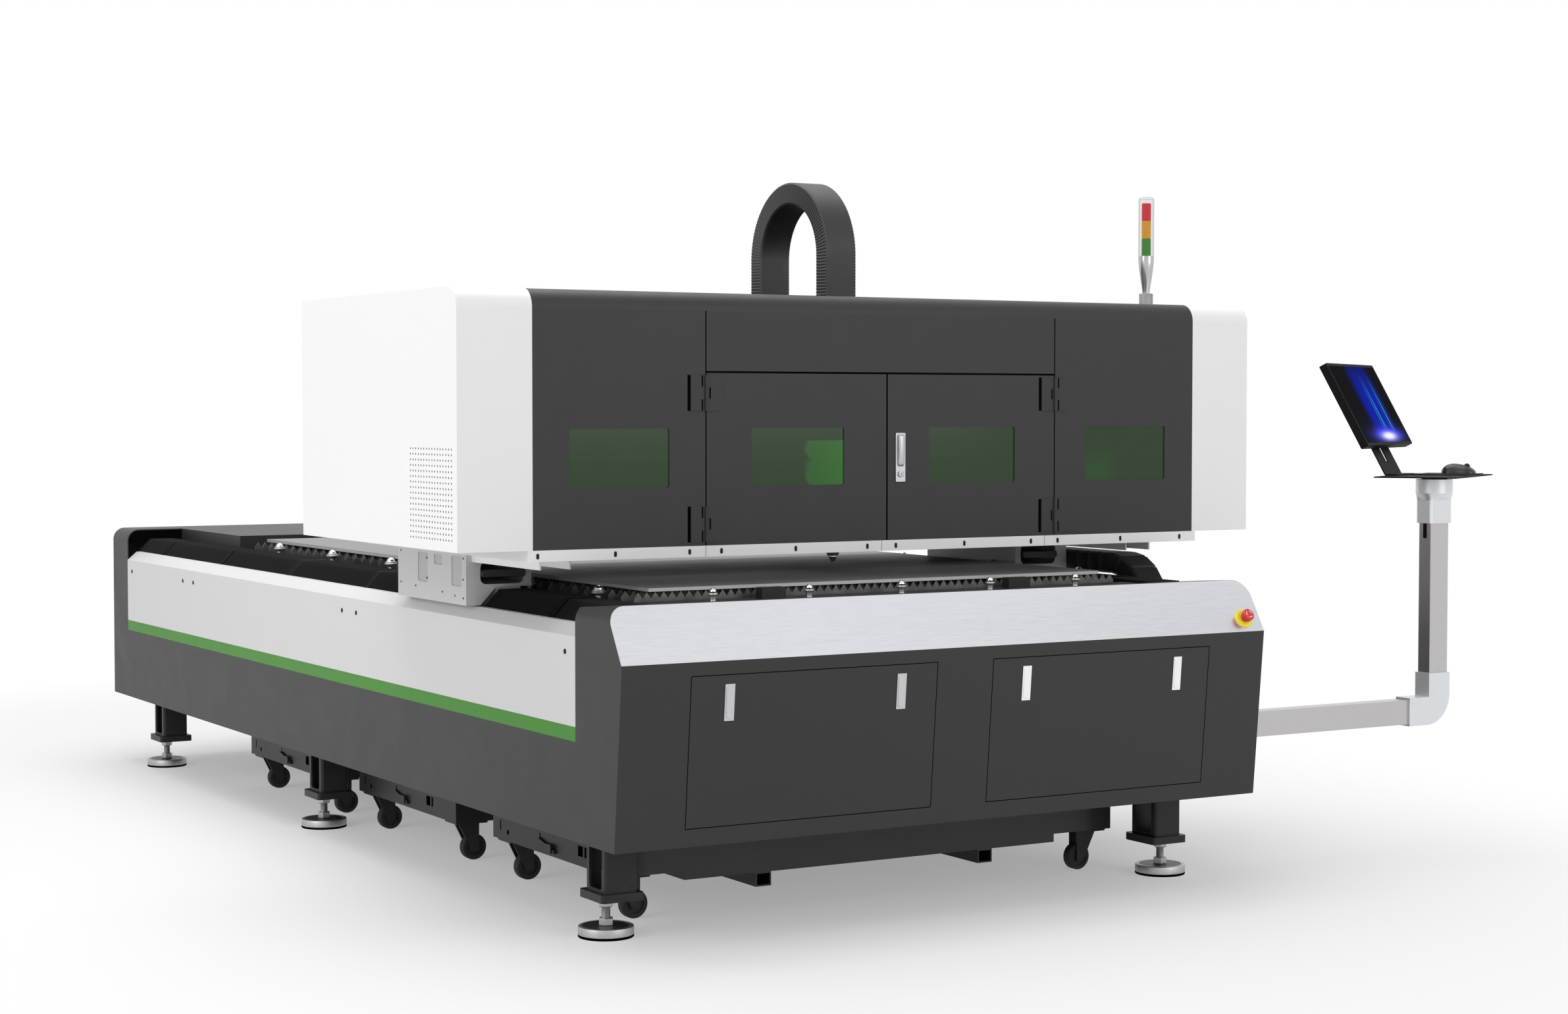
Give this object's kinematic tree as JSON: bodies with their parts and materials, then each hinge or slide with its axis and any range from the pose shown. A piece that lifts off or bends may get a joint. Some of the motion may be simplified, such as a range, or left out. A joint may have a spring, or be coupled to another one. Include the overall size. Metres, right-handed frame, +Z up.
{
  "type": "laser cutting machine",
  "caption": "Open-bed laser cutting machine: slat table between pleated way covers, travelling hood with cutting head, sloped front cabinet, swivel console and roll-out slag carts.",
  "frame": {"origin": "floor level under the middle of the bed", "axes": "+Z up, -Y towards the operator at the front cabinet, +X to the operator's right; +Y is the longest extent"},
  "size_m": [3.5798, 4.4959, 2.0819],
  "materials": {
    "dark_paint": "fine texture, satin",
    "black_paint": "satin",
    "white_paint": "satin",
    "green_paint": "satin",
    "grey_paint": "satin",
    "arm_paint": "satin",
    "aluminium": "brushed along the width",
    "chrome": "polished",
    "bright_metal": "satin anodised",
    "slat_steel": "rolled",
    "sheet_steel": "rolled, dark",
    "bellows": "coated cloth",
    "black_plastic": "satin",
    "laser_glass": "dark green filter",
    "lamp": "clear tube with coloured core",
    "wheel": "matte",
    "stop_yellow": "gloss",
    "stop_red": "gloss"
  },
  "bodies": {
    "bed": {"bed_frame": "black_paint", "bed_legs": "black_paint", "levelling_feet": "chrome", "skirts": "dark_paint", "stripes": "green_paint", "side_covers": "white_paint", "front_housing": "dark_paint", "front_fascia": "aluminium", "front_sill": "black_paint", "rear_cap": "dark_paint", "rear_deck": "dark_paint", "slats": "slat_steel", "work_sheet": "sheet_steel", "ball_units": "chrome", "stop_collar": "stop_yellow", "way_cover_front": "bellows", "way_cover_rear": "bellows", "chain_tray": "black_paint", "chain_fixed_run": "black_plastic", "arm_tubes": "arm_paint", "arm_castings": "arm_paint"},
    "gantry": {"carriage_left": "grey_paint", "carriage_right": "grey_paint", "cross_beam": "grey_paint", "hood_shell": "dark_paint", "hood_side_left": "white_paint", "hood_side_right": "white_paint", "hood_frame": "white_paint", "hood_panes": "laser_glass", "hood_hinges": "dark_paint", "tower_base": "chrome", "tower_lamp": "lamp", "chain_free_run": "black_plastic"},
    "chain_loop": {"chain_bend": "black_plastic"},
    "hood_left": {"hood_door_left": "dark_paint", "door_pane_left": "laser_glass"},
    "hood_right": {"hood_door_right": "dark_paint", "door_pane_right": "laser_glass"},
    "handle": {"hood_handle": "bright_metal"},
    "head_slide": {"head_carriage": "grey_paint", "line_hoop": "black_plastic"},
    "head": {"cutting_head": "bright_metal"},
    "door_left": {"front_door_left": "dark_paint"},
    "door_right": {"front_door_right": "dark_paint"},
    "latch_left": {"front_latches_left": "bright_metal"},
    "latch_right": {"front_latches_right": "bright_metal"},
    "stop": {"stop_button": "stop_red"},
    "console": {"console_tray": "black_paint", "monitor_bracket": "black_paint", "mouse": "black_plastic"},
    "display": {"monitor": "black_plastic"},
    "cart_front": {"cart_front": "black_paint"},
    "wheels_front_left": {"wheels_front_left": "wheel"},
    "wheels_front_right": {"wheels_front_right": "wheel"},
    "cart_mid": {"cart_mid": "black_paint"},
    "wheels_mid_left": {"wheels_mid_left": "wheel"},
    "wheels_mid_right": {"wheels_mid_right": "wheel"},
    "cart_rear": {"cart_rear": "black_paint"},
    "wheels_rear_left": {"wheels_rear_left": "wheel"},
    "wheels_rear_right": {"wheels_rear_right": "wheel"}
  },
  "joints": [
    {"name": "gantry_travel", "type": "slide", "parent": "bed", "child": "gantry", "axis": [0, 1, 0], "range_m": [-0.35, 2.65], "deforming": ["way_cover_front", "way_cover_rear", "chain_fixed_run", "chain_free_run"]},
    {"name": "chain_follow", "type": "slide", "parent": "bed", "child": "chain_loop", "axis": [0, 1, 0], "range_m": [-0.175, 1.325]},
    {"name": "head_traverse", "type": "slide", "parent": "gantry", "child": "head_slide", "axis": [1, 0, 0], "range_m": [-0.8, 0.69]},
    {"name": "head_lift", "type": "slide", "parent": "head_slide", "child": "head", "axis": [0, 0, 1], "range_m": [-0.02, 0.1]},
    {"name": "hood_door_left_swing", "type": "hinge", "parent": "gantry", "child": "hood_left", "pos_m": [-0.587, -1.841, 1.2635], "axis": [0, 0, -1], "range_deg": [0, 100]},
    {"name": "hood_door_right_swing", "type": "hinge", "parent": "gantry", "child": "hood_right", "pos_m": [0.587, -1.841, 1.2635], "axis": [0, 0, 1], "range_deg": [0, 100]},
    {"name": "handle_pull", "type": "hinge", "parent": "hood_right", "child": "handle", "pos_m": [0.044, -1.8393, 1.236], "axis": [1, 0, 0], "range_deg": [0, 35]},
    {"name": "stop_press", "type": "slide", "parent": "bed", "child": "stop", "axis": [0, 0.8567, -0.5158], "range_m": [0, 0.006], "stiffness_N_per_m": 1500},
    {"name": "console_swivel", "type": "hinge", "parent": "bed", "child": "console", "pos_m": [1.978, -1.975, 1.18], "axis": [0, 0, 1], "range_deg": [-120, 120]},
    {"name": "display_height", "type": "slide", "parent": "console", "child": "display", "axis": [-0.2488, 0.3981, 0.8829], "range_m": [-0.06, 0.06]},
    {"name": "front_door_left_drop", "type": "hinge", "parent": "bed", "child": "door_left", "pos_m": [-0.47, -2.19938, 0.318], "axis": [1, 0, 0], "range_deg": [0, 95]},
    {"name": "front_latch_left_lift", "type": "hinge", "parent": "door_left", "child": "latch_left", "pos_m": [-0.47, -2.2337, 0.69107], "axis": [-1, 0, 0], "range_deg": [0, 45]},
    {"name": "front_door_right_drop", "type": "hinge", "parent": "bed", "child": "door_right", "pos_m": [0.47, -2.19938, 0.318], "axis": [1, 0, 0], "range_deg": [0, 95]},
    {"name": "front_latch_right_lift", "type": "hinge", "parent": "door_right", "child": "latch_right", "pos_m": [0.47, -2.2337, 0.69107], "axis": [-1, 0, 0], "range_deg": [0, 45]},
    {"name": "cart_front_roll", "type": "slide", "parent": "bed", "child": "cart_front", "axis": [-1, 0, 0], "range_m": [0, 1.5]},
    {"name": "wheels_front_left_spin", "type": "hinge", "parent": "cart_front", "child": "wheels_front_left", "pos_m": [-0.757, -1.38, 0.04], "axis": [0, -1, 0], "continuous": true},
    {"name": "wheels_front_right_spin", "type": "hinge", "parent": "cart_front", "child": "wheels_front_right", "pos_m": [0.757, -1.38, 0.04], "axis": [0, -1, 0], "continuous": true},
    {"name": "cart_mid_roll", "type": "slide", "parent": "bed", "child": "cart_mid", "axis": [-1, 0, 0], "range_m": [0, 1.5]},
    {"name": "wheels_mid_left_spin", "type": "hinge", "parent": "cart_mid", "child": "wheels_mid_left", "pos_m": [-0.757, -0.29, 0.04], "axis": [0, -1, 0], "continuous": true},
    {"name": "wheels_mid_right_spin", "type": "hinge", "parent": "cart_mid", "child": "wheels_mid_right", "pos_m": [0.757, -0.29, 0.04], "axis": [0, -1, 0], "continuous": true},
    {"name": "cart_rear_roll", "type": "slide", "parent": "bed", "child": "cart_rear", "axis": [-1, 0, 0], "range_m": [0, 1.5]},
    {"name": "wheels_rear_left_spin", "type": "hinge", "parent": "cart_rear", "child": "wheels_rear_left", "pos_m": [-0.757, 0.8, 0.04], "axis": [0, -1, 0], "continuous": true},
    {"name": "wheels_rear_right_spin", "type": "hinge", "parent": "cart_rear", "child": "wheels_rear_right", "pos_m": [0.757, 0.8, 0.04], "axis": [0, -1, 0], "continuous": true}
  ],
  "couplings": [
    {"joint": "chain_follow", "follows": "gantry_travel", "ratio": 0.5},
    {"joint": "wheels_front_left_spin", "follows": "cart_front_roll", "rad_per_m": 25},
    {"joint": "wheels_front_right_spin", "follows": "cart_front_roll", "rad_per_m": 25},
    {"joint": "wheels_mid_left_spin", "follows": "cart_mid_roll", "rad_per_m": 25},
    {"joint": "wheels_mid_right_spin", "follows": "cart_mid_roll", "rad_per_m": 25},
    {"joint": "wheels_rear_left_spin", "follows": "cart_rear_roll", "rad_per_m": 25},
    {"joint": "wheels_rear_right_spin", "follows": "cart_rear_roll", "rad_per_m": 25}
  ]
}
